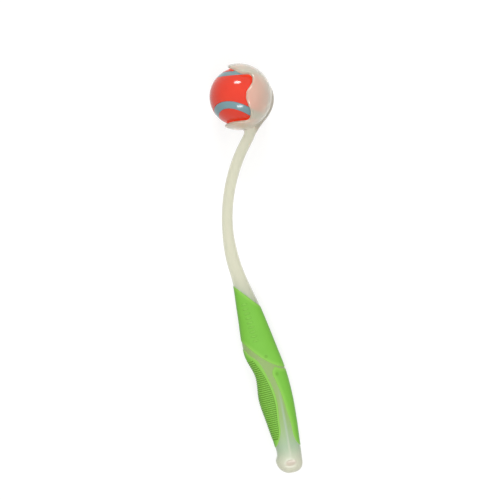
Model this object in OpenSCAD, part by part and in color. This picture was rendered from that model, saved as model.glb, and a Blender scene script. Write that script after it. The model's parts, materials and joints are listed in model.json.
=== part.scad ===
// Ball launcher stick lying on its side, with the ball that its cup holds.
// The stick is drawn flat: the cup's centre is the origin, the mouth looks to -x, the handle runs to -y
// and the throwing plane is z = 0. It is then tipped until the cup and the butt both touch the ground.

/* [Ball] */
// Diameter of the ball
ball_d = 65; // [55:0.5:75]
// Thickness of the ball's rubber cover
cover_t = 3; // [2:0.1:5]
// Thickness of the ball's inner shell
inner_shell_t = 4; // [2:0.1:8]
// Glue line between the inner shell and the cover
glue_t = 0.2; // [0.2:0.05:0.5]
// Width of the coloured band along the seam
seam_w = 8.5; // [4:0.1:12]
// How far the band lies below the cover
seam_sink = 0.2; // [0:0.05:0.6]
// Angle between the two runs of the seam where they come closest
seam_waist = 70; // [55:1:85]
// Angle by which the ball is rolled towards the top of the cup
ball_roll = 17; // [0:1:30]
// Sideways turn of the ball in the cup, its upper side towards the mouth
ball_yaw = 28; // [0:1:45]
// Turn of the ball in the throwing plane
ball_spin = 4; // [0:1:30]

/* [Cup] */
// Room between the ball and the cup
ball_gap = 0.3; // [0.2:0.05:0.8]
// Wall of the cup
cup_wall = 4.2; // [3:0.1:6]
// Angle by which the mouth looks up
mouth_up = 3; // [0:0.5:10]
// Angle by which the lips reach round past the middle of the ball
lip_wrap = 24; // [10:1:25]
// How far the upper lip's edge comes in over the ball
upper_lip = 9.3; // [6:0.1:12]
// How far the lower lip's edge comes in over the ball
lower_lip = 7.6; // [5:0.1:12]
// How far behind the ball's middle the rim's centre lobe ends
lobe_back = 9; // [6:0.1:12]
// How far behind the ball's middle the rim's two bays reach
bay_back = 14.6; // [12:0.1:18]
// Height of each bay of the rim
bay_h = 9; // [7:0.1:12]
// Height of the rim's centre lobe
lobe_h = 8; // [4:0.1:12]
// Length of the level stretch of the upper lip's edge
lip_level = 11.6; // [6:0.1:14]
// Rounding of the rim's bays and lobe
rim_round = 3; // [2:0.1:4]

/* [Arm] */
// Width of the arm in the throwing plane
arm_w = 12.4; // [9:0.1:16]
// Depth of the arm across the throwing plane
arm_d = 14; // [10:0.1:18]
// Radius of the arm's bend
arm_bend_r = 181; // [150:1:230]
// Angle below level at which the arm leaves the cup
arm_leave = 38.5; // [30:0.5:45]
// Length of the arm's flared root
root_len = 25; // [20:0.5:32]
// Reach of the root towards the mouth of the cup
root_flare = 14; // [10:0.1:18]
// Length of the fillet between the root and the arm
root_fillet = 6; // [5:0.1:12]
// Reach of the spine to either side of its centreline
spine_half = 5; // [4:0.1:6]
// Height of the spine that runs from the arm up the back of the cup
spine_rise = 2; // [1:0.1:3]
// Angle over which the spine runs up the cup
spine_wrap = 70; // [40:1:80]
// Width of the spine's tip across the throwing plane
spine_tip_w = 8.4; // [6:0.1:11]
// How far the spine's tip dips into the wall of the cup
spine_dip = 1; // [0.5:0.1:1.5]
// Distance above the end of the bend at which the arm starts to widen
taper_len = 50; // [30:1:70]

/* [Neck] */
// Distance of the neck and of the shoulder from the middle of the sleeve's top edge
neck_step = 16; // [12:0.5:20]
// Reach of the neck, above the sleeve, to the finger side
neck_front = 8; // [7:0.1:11]
// Reach of the neck to the palm side
neck_back = 8.5; // [7:0.1:11]
// Reach of the shoulder, below the sleeve's top edge, to the finger side
shoulder_front = 13.3; // [11:0.1:16]
// Reach of the shoulder to the palm side
shoulder_back = 12.3; // [10:0.1:15]

/* [Handle] */
// Lean of the handle where the bend ends
handle_lean = 19.3; // [12:0.1:25]
// Radius of the handle's slight bow
handle_bow_r = 1850; // [1200:10:3000]
// Distance from the end of the bend to the middle of the sleeve's top edge
sleeve_at = 26; // [15:0.5:40]
// Length of the sleeve along the handle's middle
sleeve_len = 76; // [60:0.5:100]
// Length of the lower grips
lower_grip_len = 101; // [85:0.5:130]
// Length of the bare butt below the grips
butt_len = 28; // [26:0.5:40]
// Rounding of the butt's end
butt_round = 13; // [10:0.5:20]
// Depth of the handle across the throwing plane
handle_d = 22; // [18:0.1:28]
// Distance from the sleeve's end up to the knuckle
knuckle_up = 12; // [10:0.5:20]
// Reach of the knuckle to the finger side
knuckle_front = 19.9; // [17:0.1:24]
// Reach of the knuckle to the palm side
knuckle_back = 16.7; // [14:0.1:19]
// Distance from the sleeve's end down to the finger hollow
hollow_at = 16; // [12:0.5:22]
// Reach of the finger hollow to the finger side
hollow_front = 14.6; // [12:0.1:18]
// Distance from the sleeve's end down to the finger swell
swell_at = 43; // [35:0.5:50]
// Reach of the finger swell to the finger side
swell_front = 17.7; // [15:0.1:22]
// Reach of the handle under the palm to the palm side
palm_back = 19.3; // [16:0.1:23]
// Distance from the lower grips' end up to the tail, where the handle draws in
tail_up = 31; // [25:0.5:33]
// Reach of the tail to the finger side
tail_front = 15.5; // [13:0.1:18]
// Reach of the tail to the palm side
tail_back = 17.4; // [14:0.1:19]
// Length of the straight waist above the butt
waist_len = 11; // [6:0.5:12]
// Reach of the waist to the finger side
waist_front = 13.1; // [11:0.1:16]
// Reach of the waist to the palm side
waist_back = 14.9; // [11:0.1:16]
// Length over which the butt's finger stop swells out
stop_len = 6.5; // [3:0.5:8]
// Reach of the butt's finger stop to the finger side
stop_front = 16; // [14:0.1:20]
// Reach of the butt to the palm side, across from the finger stop
stop_back = 13.5; // [11:0.1:16]
// Reach of the butt's end to the finger side
butt_front = 12.5; // [9:0.1:15]
// Reach of the butt's end to the palm side
butt_back = 13; // [10:0.1:15]

/* [Grips] */
// How far the soft grips stand out of the handle
grip_proud = 0.4; // [0.2:0.1:1.5]
// How far the soft grips are let into the handle
grip_sink = 1.2; // [0.6:0.1:2]
// Bare strip between the sleeve and the lower grips
grip_gap = 1.5; // [1:0.1:3]
// Spacing of the finger grip's ribs
rib_pitch = 2.3; // [1.8:0.1:4]
// Height of one rib
rib_h = 0.5; // [0.3:0.05:0.8]
// How far above the sleeve's end the ribs begin
rib_lead = 3; // [0:0.5:6]
// Plain length of the finger grip below the last rib
rib_stop = 12; // [8:0.5:20]
// Distance of the sleeve's gate dimple from the sleeve's lower edge
sleeve_gate_in = 6; // [4:0.1:10]
// Offset of the sleeve's gate dimple to the palm side
sleeve_gate_off = 2.7; // [0:0.1:6]
// Distance of the palm grip's gate dimple from the sleeve's lower edge
palm_gate_in = 10.4; // [8:0.1:14]
// Offset of the palm grip's gate dimple to the palm side
palm_gate_off = 9.2; // [8:0.1:11]
// Diameter of the gate dimples in the grips
gate_d = 3.6; // [2:0.1:5]
// Depth of the gate dimples
gate_depth = 0.5; // [0.2:0.05:0.7]

/* [Butt mark] */
// Distance of the oval hollow from the butt's end
mark_in = 12; // [10:0.5:15]
// Length of the oval hollow in the butt
mark_l = 12; // [8:0.5:16]
// Width of the oval hollow
mark_w = 6.4; // [4:0.1:8]
// Depth of the oval hollow
mark_depth = 0.9; // [0.4:0.1:1.5]

/* [Hidden] */

MILKY = [0.87, 0.86, 0.79];
GREEN = [0.52, 0.79, 0.31];
ORANGE = [0.96, 0.27, 0.15];
GREY_TEAL = [0.55, 0.63, 0.65];
BUFF = [0.75, 0.62, 0.48];

// Ball radii
ball_r = ball_d / 2;
inner_r = ball_r - cover_t;
cover_floor_r = inner_r + glue_t;
seam_half = seam_w / 2 / ball_r * 180 / PI;

// Cup radii and the centreline of the spine up its back
cavity_r = ball_r + ball_gap;
cup_r = cavity_r + cup_wall;
cup_fn = 52;
spine_r = cup_r + spine_rise - spine_half;

// Places along the stick, measured along its centreline from the end of the bend
bend_len = arm_bend_r * (arm_leave + handle_lean) * PI / 180;
spine_len = spine_r * spine_wrap * PI / 180;
arm_root = root_len - bend_len;
neck_at = sleeve_at - neck_step;
shoulder_at = sleeve_at + neck_step;
sleeve_end = sleeve_at + sleeve_len;
grip_end = sleeve_end + lower_grip_len;
stop_at = grip_end + waist_len / 2 + stop_len;
butt_end = grip_end + butt_len;
mark_at = butt_end - mark_in;
butt_start = butt_end - butt_round;

// Centres of the bend and of the handle's bow
function across(lean) = [cos(lean), sin(lean)];
bend_c = (spine_r + arm_bend_r) * across(-arm_leave);
bend_end = bend_c - arm_bend_r * across(handle_lean);
bow_c = bend_end - handle_bow_r * across(handle_lean);

// Lean of the stick at a place along it, and its centreline as three tangent arcs
function lean(u) =
    u > 0 ? handle_lean - u / handle_bow_r * 180 / PI :
    u > -bend_len ? handle_lean + u / arm_bend_r * 180 / PI :
    -arm_leave - (u + bend_len) / spine_r * 180 / PI;
function centre(u) =
    u > 0 ? bow_c + handle_bow_r * across(lean(u)) :
    u > -bend_len ? bend_c - arm_bend_r * across(lean(u)) :
    spine_r * across(lean(u));
// A point at a place along the stick, offset towards the palm side
function flat(u, v) = centre(u) + v * across(lean(u));

// Smooth curve through the rows of a table: column c as a function of column 0
function row_below(table, u, i = 0) =
    i >= len(table) - 2 || u < table[i + 1][0] ? i : row_below(table, u, i + 1);
function slope(table, i, c) =
    let (a = table[max(i - 1, 0)], b = table[min(i + 1, len(table) - 1)])
    (b[c] - a[c]) / (b[0] - a[0]);
function curve(table, u, c = 1) =
    let (i = row_below(table, u), a = table[i], b = table[i + 1], w = b[0] - a[0], t = (u - a[0]) / w)
    a[c] * (1 + 2 * t) * pow(1 - t, 2) + b[c] * t * t * (3 - 2 * t)
    + w * t * (1 - t) * (slope(table, i, c) * (1 - t) - slope(table, i + 1, c) * t);

// Half depth of the stick at a share of the way from the arm's depth to the handle's
function depth_mix(share) = (arm_d + (handle_d - arm_d) * share) / 2;

// Sections of the stick: place, reach to the finger side, reach to the palm side, half depth
arm_half = arm_w / 2;
sections = [
    [-bend_len - spine_len, spine_half, spine_half - spine_rise - spine_dip, spine_tip_w / 2],
    [-bend_len - spine_len / 2, spine_half, spine_half, (spine_tip_w + arm_d) / 4],
    [-bend_len, root_flare, spine_half, depth_mix(0)],
    [arm_root - root_fillet, root_flare, spine_half, depth_mix(0)],
    [arm_root, arm_half + root_fillet / 4, (arm_half + spine_half) / 2, depth_mix(0)],
    [arm_root + root_fillet / 2, arm_half, arm_half, depth_mix(0)],
    [arm_root + root_len, arm_half, arm_half, depth_mix(0)],
    [-taper_len, arm_half, arm_half, depth_mix(0)],
    [(neck_at - taper_len) / 2, (arm_half + neck_front) / 2, (arm_half + neck_back) / 2, depth_mix(0.15)],
    [neck_at, neck_front, neck_back, depth_mix(0.4)],
    [shoulder_at, shoulder_front, shoulder_back, depth_mix(0.75)],
    [sleeve_end - knuckle_up, knuckle_front, knuckle_back, depth_mix(1)],
    [sleeve_end + hollow_at, hollow_front, palm_back, depth_mix(1)],
    [sleeve_end + swell_at, swell_front, palm_back, depth_mix(1)],
    [grip_end - tail_up, tail_front, tail_back, depth_mix(1)],
    [grip_end - waist_len / 2, waist_front, waist_back, depth_mix(1)],
    [grip_end + waist_len / 2, waist_front, (waist_back + stop_back) / 2, depth_mix(1)],
    [stop_at, stop_front, stop_back, depth_mix(1)],
    [butt_end, butt_front, butt_back, depth_mix(1)]
];
section_sides = 22;
section_power = 2.5;
link_point = 0.5;
butt_power = 2.5;

// Share of a section that is left where the butt's end rounds off
function rounding(u) =
    u <= butt_start ? 1 : pow(1 - pow((u - butt_start) / butt_round, butt_power), 1 / butt_power);
function finger_reach(u) = curve(sections, u, 1) * rounding(u);
function palm_reach(u) = curve(sections, u, 2) * rounding(u);
function half_depth(u) = curve(sections, u, 3) * rounding(u);
function half_width(u) = (palm_reach(u) + finger_reach(u)) / 2;
function middle(u) = flat(u, (palm_reach(u) - finger_reach(u)) / 2);

// One rounded section of the stick, grown outwards by a distance
function power(c) = sign(c) * pow(abs(c), 2 / section_power);
function section(u, grow) =
    let (f = finger_reach(u) + grow, b = palm_reach(u) + grow, d = half_depth(u) + grow)
    [for (i = [0:section_sides - 1])
        let (a = 360 * i / section_sides, p = flat(u, (b - f) / 2 + power(cos(a)) * (b + f) / 2))
        [p[0], p[1], power(sin(a)) * d]];

// Rows of place and growth: evenly along the stick, closing in over the butt's end
section_step = 7;
butt_rings = 6;
function even_rows(from, to, grow) =
    let (n = ceil((to - from) / section_step))
    [for (i = [0:n]) [from + (to - from) * i / n, grow]];
stick_rows = concat(
    even_rows(-bend_len - spine_len, butt_start, 0),
    [for (i = [1:butt_rings]) [butt_start + butt_round * sin(90 * i / (butt_rings + 0.5)), 0]]
);

// Edges of the sleeve: place as a function of the offset towards the palm side
sleeve_top_slant = 1.44;
sleeve_end_slant = 1.05;
sleeve_end_bow = 0.36;
function sleeve_top(v) = sleeve_at + sleeve_top_slant * v;
function sleeve_bottom(v) = sleeve_end + sleeve_end_slant * v - sleeve_end_bow * v * v / palm_back;

// Inner edges of the lower grips: share of their length below the sleeve's end,
// and offset to the palm side as a share of the handle's half width there
finger_edge = [[-0.2, -1.2], [-0.15, -0.98], [-0.1, -0.84], [-0.06, -0.65], [-0.016, -0.45],
    [0.036, -0.335], [0.1, -0.23], [0.3, 0.01], [0.48, 0.065], [0.67, -0.08], [0.82, -0.25],
    [0.93, -0.67], [1, -1.23]];
palm_edge = [[0.06, 0.85], [0.1, 0.5], [0.14, 0.29], [0.18, 0.24], [0.24, 0.3], [0.4, 0.4], [0.58, 0.5],
    [0.75, 0.62], [0.87, 0.67], [0.95, 0.83], [1.04, 1.3]];
function on_lower_grip(share) = sleeve_end + share * lower_grip_len;
function last_share(edge) = edge[len(edge) - 1][0];

// Rows of the grips' faces, from above the sleeve to below the palm grip
grip_from = sleeve_top(-knuckle_front);
grip_to = on_lower_grip(last_share(palm_edge));
grip_outside = even_rows(grip_from, grip_to, grip_proud);
grip_inside = even_rows(grip_from, grip_to, -grip_sink);

// Rows of the ribbed finger grip: a hollow and a crest for each rib, plain above and below
rib_from = sleeve_end - rib_lead;
rib_count = floor((grip_end - rib_stop - rib_from) / rib_pitch);
rib_to = rib_from + rib_count * rib_pitch;
ribbed_outside = concat(
    even_rows(grip_from, rib_from, grip_proud),
    [for (i = [0:rib_count - 1], half = [1, 2])
        [rib_from + (i + half / 2) * rib_pitch, half == 1 ? grip_proud + rib_h : grip_proud]],
    [for (row = even_rows(rib_to, grip_to, grip_proud)) if (row[0] > rib_to) row]
);

// Tilt at which the cup's rim and the butt both touch the ground
rim_low = sqrt(cup_r * cup_r - lobe_back * lobe_back);
function butt_low(tilt) = max([for (row = stick_rows)
    half_depth(row[0]) * cos(tilt) - middle(row[0])[1] * sin(tilt)]);
function settle(tilt, n) =
    n == 0 ? tilt : settle(tilt + (rim_low - butt_low(tilt)) / norm(centre(butt_end)) * 180 / PI, n - 1);
rest_tilt = settle(3, 6);

// Box of the part on the ground, to put the origin under its middle
right_x = max([for (row = concat(stick_rows, grip_outside)) flat(row[0], palm_reach(row[0]) + row[1])[0]]);
bottom_y = min([for (row = stick_rows) flat(row[0], 0)[1]]);
rest_at = [(ball_r - right_x) / 2, -(cup_r + bottom_y * cos(rest_tilt)) / 2, rim_low];
mouth = [-cos(mouth_up), sin(mouth_up), 0];
echo(rest_at = rest_at, rest_tilt = rest_tilt);
echo(mouth_axis = [mouth[0], mouth[1] * cos(rest_tilt), mouth[1] * sin(rest_tilt)]);

// Puts a piece of the flat drawing in its place on the ground
module lay() {
    translate(rest_at) rotate([rest_tilt, 0, 0]) children();
}

// The stick's rounded bar through rows of place and outward growth.
// Each link ends in a shallow point that reaches into the next link.
module bar(rows) {
    n = section_sides;
    for (i = [0:len(rows) - 2])
        hull() polyhedron(
            points = concat(
                section(rows[i][0], rows[i][1]),
                section(rows[i + 1][0], rows[i + 1][1]),
                [[each middle(min(rows[i + 1][0] + link_point, butt_end)), 0]]
            ),
            faces = [
                [for (k = [0:n - 1]) k],
                for (k = [0:n - 1]) [2 * n, n + k, n + (k + 1) % n]
            ]
        );
}

// Side view of the cup's opening, with the mouth towards -x
module mouth_outline() {
    far = 3 * cup_r;
    lip = [-sin(lip_wrap), cos(lip_wrap)];
    upper_edge = cavity_r - upper_lip;
    lower_edge = cavity_r - lower_lip;
    offset(r = -rim_round) offset(r = 2 * rim_round) offset(r = -rim_round)
        polygon([
            far * lip,
            cavity_r * lip,
            [bay_back - lip_level, upper_edge],
            [bay_back, upper_edge],
            [bay_back, upper_edge - bay_h],
            [lobe_back, lobe_h / 2],
            [lobe_back, -lobe_h / 2],
            [bay_back, bay_h - lower_edge],
            [bay_back, -lower_edge],
            [cavity_r * lip[0], -cavity_r * lip[1]],
            [far * lip[0], -far * lip[1]],
            [-far, 0]
        ]);
}

// Room for the ball, open along the mouth so that the ball can leave
module ball_room() {
    rotate([0, 0, -mouth_up]) {
        sphere(r = cavity_r, $fn = cup_fn);
        rotate([0, -90, 0]) cylinder(r = cavity_r, h = 2 * cup_r, $fn = cup_fn);
    }
}

module cup() {
    difference() {
        sphere(r = cup_r, $fn = cup_fn);
        rotate([0, 0, -mouth_up]) linear_extrude(3 * cup_r, center = true) mouth_outline();
    }
}

// Side views of the soft grips, wider than the handle
module sleeve_outline(spread = 0) {
    steps = 12;
    side = 1.5 * knuckle_front;
    offsets = [for (i = [-steps:steps]) side * i / steps];
    offset(delta = spread) polygon(concat(
        [for (v = offsets) flat(sleeve_top(v), v)],
        [for (i = [2 * steps:-1:0]) flat(sleeve_bottom(offsets[i]), offsets[i])]
    ));
}

module lower_outline(edge, outer) {
    steps = 36;
    first = edge[0][0];
    shares = [for (i = [0:steps]) first + (last_share(edge) - first) * i / steps];
    places = [for (s = shares) on_lower_grip(s)];
    difference() {
        polygon(concat(
            [for (i = [0:steps]) flat(places[i], curve(edge, shares[i]) * half_width(places[i]))],
            [for (i = [steps:-1:0]) flat(places[i], outer)]
        ));
        sleeve_outline(grip_gap);
    }
}

// A soft skin inside an outline, let into the handle and standing out of it
module skin(outside) {
    difference() {
        intersection() {
            bar(outside);
            linear_extrude(4 * handle_d, center = true) children();
        }
        bar(grip_inside);
    }
}

module sleeve_skin() {
    skin(grip_outside) sleeve_outline();
}

module finger_skin(outside) {
    skin(outside) lower_outline(finger_edge, -2 * knuckle_front);
}

module palm_skin() {
    skin(grip_outside) lower_outline(palm_edge, 2 * palm_back);
}

// A round gate dimple in the upper face of a grip
module gate(u, v) {
    translate([flat(u, v)[0], flat(u, v)[1], half_depth(u) + grip_proud - gate_depth])
        cylinder(d = gate_d, h = handle_d, $fn = 24);
}

module launcher_arm() {
    color(MILKY) lay() difference() {
        union() {
            cup();
            bar(stick_rows);
        }
        ball_room();
        sleeve_skin();
        finger_skin(grip_outside);
        palm_skin();
        translate([each flat(mark_at, 0), half_depth(mark_at)])
            rotate([0, 0, lean(mark_at)])
            scale([mark_l, mark_w, 2 * mark_depth]) sphere(d = 1, $fn = 32);
    }
}

module upper_grip_sleeve() {
    color(GREEN) lay() difference() {
        sleeve_skin();
        gate(sleeve_bottom(sleeve_gate_off) - sleeve_gate_in, sleeve_gate_off);
    }
}

module finger_grip() {
    color(GREEN) lay() finger_skin(ribbed_outside);
}

module palm_grip() {
    color(GREEN) lay() difference() {
        palm_skin();
        gate(sleeve_bottom(palm_gate_off) + palm_gate_in, palm_gate_off);
    }
}

// The seam of the ball on a sphere of radius 1, and a point beside it
seam_a = (1 + sin(seam_waist / 2)) / 2;
seam_b = 1 - seam_a;
function seam(t) = [
    seam_a * cos(t) + seam_b * cos(3 * t),
    seam_a * sin(t) - seam_b * sin(3 * t),
    2 * sqrt(seam_a * seam_b) * sin(2 * t)
];
function seam_run(t) = [
    -seam_a * sin(t) - 3 * seam_b * sin(3 * t),
    seam_a * cos(t) - 3 * seam_b * cos(3 * t),
    4 * sqrt(seam_a * seam_b) * cos(2 * t)
];
function beside_seam(t, angle) =
    let (run = seam_run(t), side = cross(seam(t), run / norm(run)))
    cos(angle) * seam(t) + sin(angle) * side;

// A point part of the way along the great circle from p to q
function between(p, q, share) =
    let (angle = acos(min(1, p * q)))
    angle < 0.001 ? p : (sin((1 - share) * angle) * p + sin(share * angle) * q) / sin(angle);

cover_columns = 36;
cover_rows = 12;

// One of the ball's two covers: each column crosses from one run of the seam to the other,
// and the first and last columns are the points where the two runs meet
module ball_cover() {
    w = cover_rows + 1;
    last = cover_columns;
    layer = (last - 1) * w + 2;
    function at(i, j) = i == 0 ? 0 : i == last ? layer - 1 : 1 + (i - 1) * w + j;
    function run(i, side) =
        beside_seam(side == 0 ? -45 + 180 * i / last : 315 - 180 * i / last, seam_half);
    patch = concat(
        [run(0, 0)],
        [for (i = [1:last - 1], j = [0:cover_rows]) between(run(i, 0), run(i, 1), j / cover_rows)],
        [run(last, 0)]
    );
    skin = [for (i = [0:last - 1], j = [0:cover_rows - 1]) each concat(
        i < last - 1 ? [[at(i, j), at(i + 1, j + 1), at(i + 1, j)]] : [],
        i > 0 ? [[at(i, j), at(i, j + 1), at(i + 1, j + 1)]] : []
    )];
    rim = concat(
        [for (i = [0:last]) at(i, 0)],
        [for (i = [last - 1:-1:1]) at(i, cover_rows)]
    );
    polyhedron(
        points = concat(ball_r * patch, cover_floor_r * patch),
        faces = concat(
            skin,
            [for (f = skin) [for (k = [2:-1:0]) f[k] + layer]],
            [for (i = [0:len(rim) - 1])
                let (a = rim[i], b = rim[(i + 1) % len(rim)])
                each [[a, b, b + layer], [a, b + layer, a + layer]]]
        )
    );
}

// The band along the whole seam
module seam_band() {
    stations = 2 * cover_columns;
    strips = 4;
    ring = 2 * (strips + 1);
    angles = [for (j = [0:strips]) seam_half * (1 - 2 * j / strips)];
    points = [for (i = [0:stations - 1])
        let (t = -45 + 360 * i / stations)
        each concat(
            [for (a = angles) (ball_r - seam_sink) * beside_seam(t, a)],
            [for (j = [strips:-1:0]) cover_floor_r * beside_seam(t, angles[j])]
        )];
    polyhedron(
        points = points,
        faces = [for (i = [0:stations - 1], j = [0:ring - 1])
            let (a = i * ring, b = (i + 1) % stations * ring, k = (j + 1) % ring)
            each [[a + j, b + j, b + k], [a + j, b + k, a + k]]]
    );
}

// Turns the ball as it sits in the cup, with the waist of one cover up and towards the mouth
module in_cup() {
    lay() rotate([-ball_roll, -ball_yaw, ball_spin]) rotate([0, 0, 45]) children();
}

module inner_half() {
    difference() {
        sphere(r = inner_r);
        sphere(r = inner_r - inner_shell_t);
        translate([0, 0, -inner_r]) cube(2 * inner_r, center = true);
    }
}

module ball_inner_half_upper() {
    color(BUFF) in_cup() inner_half($fn = 64);
}

module ball_inner_half_lower() {
    color(BUFF) in_cup() rotate([180, 0, 0]) inner_half($fn = 64);
}

module ball_cover_upper() {
    color(ORANGE) in_cup() ball_cover();
}

module ball_cover_lower() {
    color(ORANGE) in_cup() rotate([180, 0, 0]) ball_cover();
}

module ball_seam_band() {
    color(GREY_TEAL) in_cup() seam_band();
}

launcher_arm();
upper_grip_sleeve();
finger_grip();
palm_grip();
ball_inner_half_upper();
ball_inner_half_lower();
ball_cover_upper();
ball_cover_lower();
ball_seam_band();
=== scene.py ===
# %% [markdown]
# # A dog ball launcher stick
#
# The stick is one long moulding of milky plastic: a springy cup at the top, a curved arm, and a handle.
# Soft green grips are moulded round the handle, and an orange rubber ball sits in the cup.
# The measured solids of every piece are loaded first. Each piece that shows is then modelled again as a
# finer mesh, in the same place and at the same size, and gets the finish of its real material.

import json
import math

import bmesh
import bpy
import numpy as np
from mathutils import Euler, Matrix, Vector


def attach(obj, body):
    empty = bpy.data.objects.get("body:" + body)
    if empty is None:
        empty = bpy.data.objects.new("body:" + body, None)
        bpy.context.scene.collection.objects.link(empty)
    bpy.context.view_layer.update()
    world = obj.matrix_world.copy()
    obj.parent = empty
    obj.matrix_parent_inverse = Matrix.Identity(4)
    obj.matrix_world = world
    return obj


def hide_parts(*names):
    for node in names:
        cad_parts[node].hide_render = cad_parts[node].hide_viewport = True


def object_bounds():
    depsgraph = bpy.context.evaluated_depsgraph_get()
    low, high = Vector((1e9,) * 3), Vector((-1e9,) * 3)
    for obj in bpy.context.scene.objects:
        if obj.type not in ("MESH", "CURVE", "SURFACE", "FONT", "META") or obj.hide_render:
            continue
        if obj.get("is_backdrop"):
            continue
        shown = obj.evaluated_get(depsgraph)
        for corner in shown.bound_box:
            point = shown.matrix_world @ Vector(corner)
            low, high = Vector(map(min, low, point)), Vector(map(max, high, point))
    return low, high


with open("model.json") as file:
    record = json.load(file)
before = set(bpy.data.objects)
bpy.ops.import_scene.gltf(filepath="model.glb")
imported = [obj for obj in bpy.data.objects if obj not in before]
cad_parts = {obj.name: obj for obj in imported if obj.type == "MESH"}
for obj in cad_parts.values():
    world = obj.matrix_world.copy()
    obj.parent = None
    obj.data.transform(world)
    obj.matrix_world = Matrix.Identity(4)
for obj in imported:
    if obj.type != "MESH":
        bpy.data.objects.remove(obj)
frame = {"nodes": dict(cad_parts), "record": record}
cad_low, cad_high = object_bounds()
print("solids:", ", ".join(sorted(frame["nodes"])))

# %% [markdown]
# ## From the drawing to the ground
#
# A stick like this is easiest to describe as a side view on paper. There the middle of the ball is the
# origin, the cup's mouth looks to the left, the handle runs down the page, and all is in millimetres.
# The record says where the ball's seat ends up and which way the mouth looks, because the stick lies on
# the ground with a small tilt. Those two facts are enough to lay any point in its place.

# %% Lay points of the drawing on the ground
MM = 0.001
ball_seat = next(mount for mount in frame["record"]["mounts"] if mount["name"] == "ball_seat")
SEAT = np.array(ball_seat["pos_m"])
TILT = math.atan2(ball_seat["axis"][2], ball_seat["axis"][1])
LAID = np.array([
    [1, 0, 0],
    [0, math.cos(TILT), -math.sin(TILT)],
    [0, math.sin(TILT), math.cos(TILT)],
])


def lay(points):
    """Points of the drawing, in millimetres, to their place on the ground, in metres."""
    return np.asarray(points, dtype=float) @ LAID.T * MM + SEAT


def drawn(places):
    """The way back, from the ground to the drawing."""
    return (np.asarray(places, dtype=float) - SEAT) @ LAID / MM


def unit(ways):
    """The same directions with a length of one."""
    return ways / np.linalg.norm(ways, axis=-1, keepdims=True)


def full_turn(count):
    """Even angles all the way round."""
    return np.linspace(0, 2 * math.pi, count, endpoint=False)


print(f"the stick lies with a tilt of {math.degrees(TILT):.2f} degrees")

# %% [markdown]
# ## Camera
#
# The picture looks straight at the side view, so the camera stands square to the drawing's plane.
# A long lens from far away keeps the stick's proportions flat, as in a catalogue picture.
# Its frame is worked out from the picture's scale and from the pixel where the ball's middle lies.

# %% Camera square to the drawing
PICTURE_PX = 500
MM_PER_PX = 1.107
BALL_PX = (238.8, 96.8)
CAMERA_FAR = 2500
SENSOR = 36

frame_width = PICTURE_PX * MM_PER_PX
picture_middle = [
    (PICTURE_PX / 2 - BALL_PX[0]) * MM_PER_PX,
    (BALL_PX[1] - PICTURE_PX / 2) * MM_PER_PX,
    CAMERA_FAR,
]
camera = bpy.data.objects.new("camera", bpy.data.cameras.new("camera"))
camera.data.sensor_width = SENSOR
camera.data.lens = SENSOR * CAMERA_FAR / frame_width
camera.location = lay(picture_middle)
camera.rotation_euler = (TILT, 0, 0)
bpy.context.scene.collection.objects.link(camera)
bpy.context.scene.camera = camera
print(f"lens {camera.data.lens:.0f} mm, frame {frame_width:.0f} mm wide")

# %% [markdown]
# ## Colour and nodes
#
# Colours are written as the hex values that a paint program shows, and one function turns them into the
# linear values that Blender's shaders work with. A second small function adds a node to any tree, sets its
# properties and fills its inputs: a socket is linked, and anything else is set as a value. The rest are the
# few things that every material here is made of: noise of a real size, mixed colours and a bumpy skin.

# %% Colour and node helpers
def linear(hex_colour):
    """A shader colour from an sRGB hex value such as #85CA50."""
    parts = [int(hex_colour[i:i + 2], 16) / 255 for i in (1, 3, 5)]
    return [p / 12.92 if p <= 0.04045 else ((p + 0.055) / 1.055) ** 2.4 for p in parts] + [1.0]


def add(tree, kind, inputs=None, **settings):
    """A new node in the tree, with its settings, and its inputs linked or set."""
    made = tree.nodes.new(kind)
    for name, value in settings.items():
        setattr(made, name, value)
    for name, value in (inputs or {}).items():
        if isinstance(value, bpy.types.NodeSocket):
            tree.links.new(value, made.inputs[name])
        else:
            made.inputs[name].default_value = value
    return made


def blank_material(name):
    """An empty material and its node tree."""
    material = bpy.data.materials.new(name)
    material.use_nodes = True
    material.node_tree.nodes.clear()
    return material, material.node_tree


def noise(tree, patch_mm, detail):
    """Cloudy noise with patches of a real size, fixed to the piece."""
    place = add(tree, "ShaderNodeTexCoord")
    made = add(tree, "ShaderNodeTexNoise", {
        "Vector": place.outputs["Object"], "Scale": 1 / (patch_mm * MM), "Detail": detail})
    return made.outputs["Fac"]


def ranged(tree, value, low, high):
    """A value from zero to one, stretched to lie between two others."""
    return add(tree, "ShaderNodeMapRange", {"Value": value, "To Min": low, "To Max": high}).outputs[0]


def mixed(tree, share, first, second):
    """A share of the way from one colour to another, each a socket or a hex value."""
    first, second = (linear(end) if isinstance(end, str) else end for end in (first, second))
    made = add(tree, "ShaderNodeMix", {"Factor": share, 6: first, 7: second}, data_type="RGBA")
    return made.outputs[2]


def kept(tree, name):
    """The value that a mesh keeps on its points under that name."""
    return add(tree, "ShaderNodeAttribute", attribute_name=name).outputs["Fac"]


def bumpy(tree, height, strength, high_mm):
    """The surface's direction, roughened by noise of a real height."""
    made = add(tree, "ShaderNodeBump", {
        "Height": height, "Strength": strength, "Distance": high_mm * MM})
    return made.outputs[0]


print("node helpers ready")

# %% [markdown]
# ## Floor and light
#
# The stick lies on a white table under soft studio light. Two softboxes, above and below the ball in the
# picture, give the two highlights on the ball, and the world fills in from overhead like a light tent.
# The table and the world are lifted to white for the camera, for reflections and for what shows through
# the plastic. Light Path picks out those rays, so the white background adds no light to the stick.

# %% White table
FLOOR_HALF = 3.0
FLOOR_GREY = "#9C9C9A"
FLOOR_LIFT = 0.73


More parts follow.
